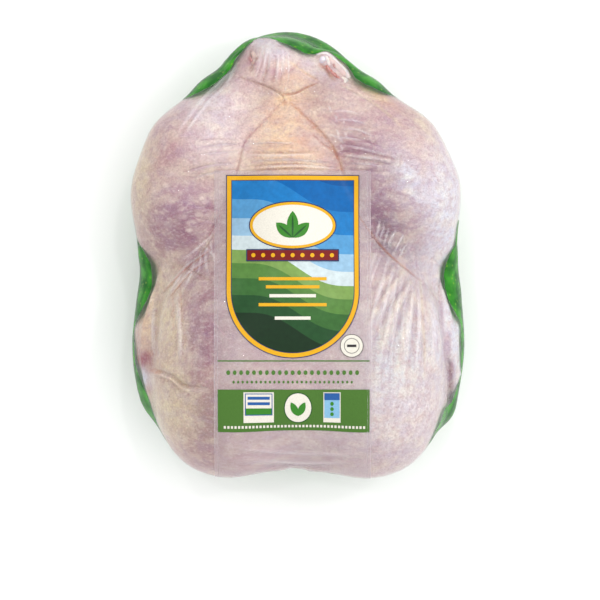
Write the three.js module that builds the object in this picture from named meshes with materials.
// A whole raw chicken in a shrink bag, lying on its back with the breast up.
// Millimetres, +Z up, +Y towards the legs, +X to the bird's own right side.
// The bag is drawn tight on the bird, so its solid shows every joint of the bird below it,
// and the printed label strip lies on the breast and runs down over the neck end.
import * as THREE from "three";
import { mergeVertices } from "three/addons/utils/BufferGeometryUtils.js";

// Overall size of the pack
const LENGTH = 258;
const WIDTH = 188;
const HEIGHT = 108;

// How softly neighbouring masses run into each other
const MUSCLE_BLEND = 20;
const CREASE_BLEND = 14;
const FILM_BLEND = 11;
const JOINT_BLEND = 10;
const SKIN_BLEND = 6;
const FLOOR_BLEND = 8;

// The skin is a sphere of this detail, drawn in towards the middle of the bird
const SKIN_DETAIL = 21;
const HEART = new THREE.Vector3(-2, -2, 40);
const MERGE_DISTANCE = 1e-5;
const CLOSE_ENOUGH = 0.002;
const CAREFUL_STEP = 0.8;
const FLAT = 0.05;

// The label strip and what is printed on it, in layers that lie one above the other
const LABEL_X = -3;
const STRIP = { width: 88, top: 47, bottom: -172 };
const PANEL = { width: 75, top: 44.5, shoulder: -21 };
const BAND = { width: 84, top: -76, bottom: -98 };
const SQUARE_MARK = { x: -22, y: -85.5, width: 19, length: 15 };
const DISC_MARK = { x: 0, y: -85.5, radius: 8 };
const TALL_MARK = { x: 19, y: -85.5, width: 10, length: 15 };
const ROUND_MARK = { x: 30, y: -51.5, radius: 6.5 };
const LAYER = 0.4;
const LAYER_GAP = 0.7;

// Spacing of the points that a label sheet is laid down with
const SHEET_STEP = 7;
const MARK_STEP = 4;
const ROUND_STEPS = 7;
const ROUND_FOOT = Math.PI * 0.97;

// Where the strip turns down over the neck end
const TURN_Y = -80;
const TURN_Z = 44;
const TURN_RADIUS = 52;

const COLOURS = {
  skin: 0xd8bfc0,
  clearFilm: 0xcbb4b4,
  panel: 0x2f6f94,
  band: 0x4f7a32,
  mark: 0xf2f3f0,
};
const BAG_ROUGHNESS = 0.35;
const LABEL_ROUGHNESS = 0.3;

// Distances to simple shapes, negative inside

// An egg has a centre, half its size along X, Y and Z, and a turn about Z in degrees
function egg(centre, half, turn = 0) {
  const cos = Math.cos(THREE.MathUtils.degToRad(turn));
  const sin = Math.sin(THREE.MathUtils.degToRad(turn));
  const smallest = Math.min(...half);
  return (point) => {
    const dx = point.x - centre[0];
    const dy = point.y - centre[1];
    const x = (dx * cos + dy * sin) / half[0];
    const y = (dy * cos - dx * sin) / half[1];
    const z = (point.z - centre[2]) / half[2];
    const reach = Math.hypot(x, y, z);
    const slope = Math.hypot(x / half[0], y / half[1], z / half[2]);
    return slope ? (reach * (reach - 1)) / slope : -smallest;
  };
}

// A bone's ends are x, y, z and radius
function bone(start, end) {
  const along = end.map((value, i) => value - start[i]);
  const lengthSquared = along[0] ** 2 + along[1] ** 2 + along[2] ** 2;
  return (point) => {
    const dx = point.x - start[0];
    const dy = point.y - start[1];
    const dz = point.z - start[2];
    const projected = (dx * along[0] + dy * along[1] + dz * along[2]) / lengthSquared;
    const share = THREE.MathUtils.clamp(projected, 0, 1);
    const gap = Math.hypot(dx - share * along[0], dy - share * along[1], dz - share * along[2]);
    return gap - start[3] - share * along[3];
  };
}

function softMin(a, b, softness) {
  const overlap = Math.max(softness - Math.abs(a - b), 0) / softness;
  return Math.min(a, b) - (overlap * overlap * softness) / 4;
}

function blend(softness, shapes) {
  return (point) => {
    let gap = Infinity;
    for (const shape of shapes) gap = softMin(gap, shape(point), softness);
    return gap;
  };
}

function limb(joints) {
  const bones = joints.slice(1).map((end, i) => bone(joints[i], end));
  return blend(JOINT_BLEND, bones);
}

// The bird's masses. The back is flat where it lies, because the trunk reaches below the floor

function trunk() {
  const ribs = egg([0, -12, 38], [77, 104, 50]);
  const shoulders = egg([0, -74, 44], [76, 42, 46]);
  const hips = egg([-2, 54, 37], [67, 48, 46]);
  return blend(MUSCLE_BLEND, [ribs, shoulders, hips]);
}

function breast() {
  const leftHalf = egg([-34, -57, 70], [42, 66, 38], -3);
  const rightHalf = egg([35, -57, 70], [42, 67, 38], 3);
  const leftFlank = egg([-53, -62, 55], [28, 54, 38]);
  const rightFlank = egg([54, -62, 55], [28, 54, 38]);
  const neckEnd = limb([[-37, -88, 52, 33], [38, -88, 52, 33]]);
  const keel = limb([[-1, -72, 76, 27], [-6, 8, 73, 30], [-8, 77, 60, 15]]);
  return blend(MUSCLE_BLEND, [leftHalf, rightHalf, leftFlank, rightFlank, neckEnd, keel]);
}

// Each drumstick runs from the knee beside the breast to the hock under the tail flap

function leftLeg() {
  const knee = [-72, 2, 48, 18];
  const calf = [[-65, 34, 56, 27], [-57, 56, 58, 28], [-37, 83, 58, 22]];
  const hock = [-24, 101, 55, 11];
  return limb([knee, ...calf, hock]);
}

function rightLeg() {
  const knee = [71, 2, 48, 18];
  const calf = [[62, 34, 56, 28], [53, 55, 58, 28], [28, 82, 58, 22]];
  const hock = [13, 99, 55, 11];
  return limb([knee, ...calf, hock]);
}

function thighs() {
  const left = egg([-62, 26, 42], [27, 41, 36], 6);
  const right = egg([60, 26, 42], [27, 41, 36], -6);
  return blend(MUSCLE_BLEND, [left, right]);
}

// A wing has no tip, and lies folded against the flank
function wing(side) {
  const upperArm = egg([side * 80, -50, 42], [14, 38, 24]);
  const forearm = limb([[side * 76, -26, 32, 12], [side * 77, -80, 36, 12]]);
  return blend(SKIN_BLEND, [upperArm, forearm]);
}

function tailFlap() {
  const flap = egg([-15, 105, 54], [28, 19, 24], 8);
  const tail = egg([-8, 94, 42], [34, 24, 28]);
  return blend(JOINT_BLEND, [flap, tail]);
}

function bird() {
  const body = blend(CREASE_BLEND, [trunk(), breast(), leftLeg(), rightLeg(), thighs()]);
  const leftKnuckle = egg([-24, 112, 56], [8, 10, 10]);
  const rightKnuckle = egg([20, 106, 58], [14, 9, 11], -30);
  return blend(SKIN_BLEND, [body, wing(-1), wing(1), tailFlap(), leftKnuckle, rightKnuckle]);
}

// The film bridges the hollows under the flanks, round the hocks, at the knees and past the wings
function bag() {
  const flanks = egg([0, -30, 32], [84, 88, 30]);
  const hocks = egg([-6, 62, 31], [53, 66, 24]);
  const leftKnee = egg([-75, -16, 34], [13, 36, 22]);
  const rightKnee = egg([76, -14, 34], [13, 36, 22]);
  const leftWing = egg([-74, -74, 34], [13, 36, 22], 14);
  const rightWing = egg([76, -72, 34], [13, 36, 22], -14);
  return blend(FILM_BLEND, [bird(), flanks, hocks, leftKnee, rightKnee, leftWing, rightWing]);
}

// The first point of a shape that a ray meets on its way in

function outermost(distance, origin, direction) {
  const point = new THREE.Vector3();
  let reach = LENGTH;
  let gap = Infinity;
  while (gap > CLOSE_ENOUGH) {
    gap = distance(point.copy(origin).addScaledVector(direction, reach));
    reach -= gap * CAREFUL_STEP;
  }
  return point;
}

function shrinkWrap(shape) {
  const onFloor = (point) => -softMin(-shape(point), point.z, FLOOR_BLEND);
  const sphere = new THREE.IcosahedronGeometry(1, SKIN_DETAIL);
  sphere.deleteAttribute("normal");
  sphere.deleteAttribute("uv");
  const skin = mergeVertices(sphere, MERGE_DISTANCE);
  const at = skin.getAttribute("position");
  const proportions = new THREE.Vector3(WIDTH, LENGTH, HEIGHT);
  const direction = new THREE.Vector3();
  for (let i = 0; i < at.count; i++) {
    direction.fromBufferAttribute(at, i).multiply(proportions).normalize();
    const hit = outermost(onFloor, HEART, direction);
    at.setXYZ(i, hit.x, hit.y, hit.z < FLAT ? 0 : hit.z);
  }
  return skin;
}

// A label point is given by its place across the strip and its length along it.
// It lies straight below on the breast, and on an arc past the turn over the neck end.

function laidOn(shape, x, along, lift) {
  const angle = Math.max(TURN_Y - along, 0) / TURN_RADIUS;
  const origin = new THREE.Vector3(x, Math.max(along, TURN_Y), TURN_Z);
  const direction = new THREE.Vector3(0, -Math.sin(angle), Math.cos(angle));
  return outermost((point) => shape(point) - lift, origin, direction);
}

// Rows of a sheet, each given by its length along the strip and its half width

function rowsOf(centre, step, halfWidths) {
  const widest = Math.max(...halfWidths.map(([, half]) => half));
  const columns = Math.ceil((2 * widest) / step);
  return halfWidths.map(([along, half]) => {
    return Array.from({ length: columns + 1 }, (_, c) => [centre + half * ((2 * c) / columns - 1), along]);
  });
}

function straight(top, bottom, halfWidth, step) {
  const count = Math.ceil((top - bottom) / step);
  return Array.from({ length: count + 1 }, (_, r) => {
    return [THREE.MathUtils.lerp(top, bottom, r / count), halfWidth];
  });
}

// The angles run from the top of a circle to just short of its foot
function round(y, radius, from) {
  return Array.from({ length: ROUND_STEPS }, (_, r) => {
    const angle = THREE.MathUtils.lerp(from, ROUND_FOOT, (r + 1) / ROUND_STEPS);
    return [y + radius * Math.cos(angle), radius * Math.sin(angle)];
  });
}

function rectangleRows({ x = LABEL_X, top, bottom, width }, step = SHEET_STEP) {
  return rowsOf(x, step, straight(top, bottom, width / 2, step));
}

function markRows({ x, y, width, length }) {
  return rectangleRows({ x, top: y + length / 2, bottom: y - length / 2, width }, MARK_STEP);
}

function discRows({ x, y, radius }) {
  return rowsOf(x, MARK_STEP, round(y, radius, 0));
}

function shieldRows({ width, top, shoulder }) {
  const half = width / 2;
  return rowsOf(LABEL_X, SHEET_STEP, [
    ...straight(top, shoulder, half, SHEET_STEP),
    ...round(shoulder, half, Math.PI / 2),
  ]);
}

// A thin sheet laid on a shape, over a grid of rows with as many places in each

function sheet(shape, rows, layer) {
  const underside = layer * (LAYER + LAYER_GAP) - LAYER;
  const columns = rows[0].length;
  const above = rows.length * columns;
  const corners = [];
  for (const lift of [underside, underside + LAYER]) {
    for (const [x, along] of rows.flat()) corners.push(...laidOn(shape, x, along, lift).toArray());
  }
  const faces = [];
  const quad = (a, b, c, d) => faces.push(a, b, c, a, c, d);
  for (let r = 0; r + 1 < rows.length; r++) {
    for (let c = 0; c + 1 < columns; c++) {
      const a = r * columns + c;
      quad(a, a + 1, a + columns + 1, a + columns);
      quad(above + a, above + a + columns, above + a + columns + 1, above + a + 1);
    }
    const left = r * columns;
    const right = left + columns - 1;
    quad(left, left + columns, above + left + columns, above + left);
    quad(right, above + right, above + right + columns, right + columns);
  }
  const last = above - columns;
  for (let c = 0; c + 1 < columns; c++) {
    quad(c, above + c, above + c + 1, c + 1);
    quad(last + c, last + c + 1, above + last + c + 1, above + last + c);
  }
  const geometry = new THREE.BufferGeometry();
  geometry.setAttribute("position", new THREE.Float32BufferAttribute(corners, 3));
  geometry.setIndex(faces);
  return geometry;
}

function piece(name, geometry, color, roughness) {
  geometry.computeVertexNormals();
  const mesh = new THREE.Mesh(geometry, new THREE.MeshStandardMaterial({ color, roughness }));
  mesh.name = name;
  return mesh;
}

function label(shape) {
  const printed = (name, rows, layer, color) => {
    return piece(name, sheet(shape, rows, layer), color, LABEL_ROUGHNESS);
  };
  return [
    printed("label_strip", rectangleRows(STRIP), 1, COLOURS.clearFilm),
    printed("label_panel", shieldRows(PANEL), 2, COLOURS.panel),
    printed("label_band", rectangleRows(BAND), 2, COLOURS.band),
    printed("label_round_mark", discRows(ROUND_MARK), 2, COLOURS.mark),
    printed("band_square_mark", markRows(SQUARE_MARK), 3, COLOURS.mark),
    printed("band_disc_mark", discRows(DISC_MARK), 3, COLOURS.mark),
    printed("band_tall_mark", markRows(TALL_MARK), 3, COLOURS.mark),
  ];
}

const shape = bag();
const pack = new THREE.Group();
pack.add(piece("bagged_chicken", shrinkWrap(shape), COLOURS.skin, BAG_ROUGHNESS), ...label(shape));

// The origin is below the middle of the pack, on the surface that it lies on
const box = new THREE.Box3().setFromObject(pack);
const middle = box.getCenter(new THREE.Vector3());
pack.position.set(-middle.x, -middle.y, -box.min.z);

export default pack;
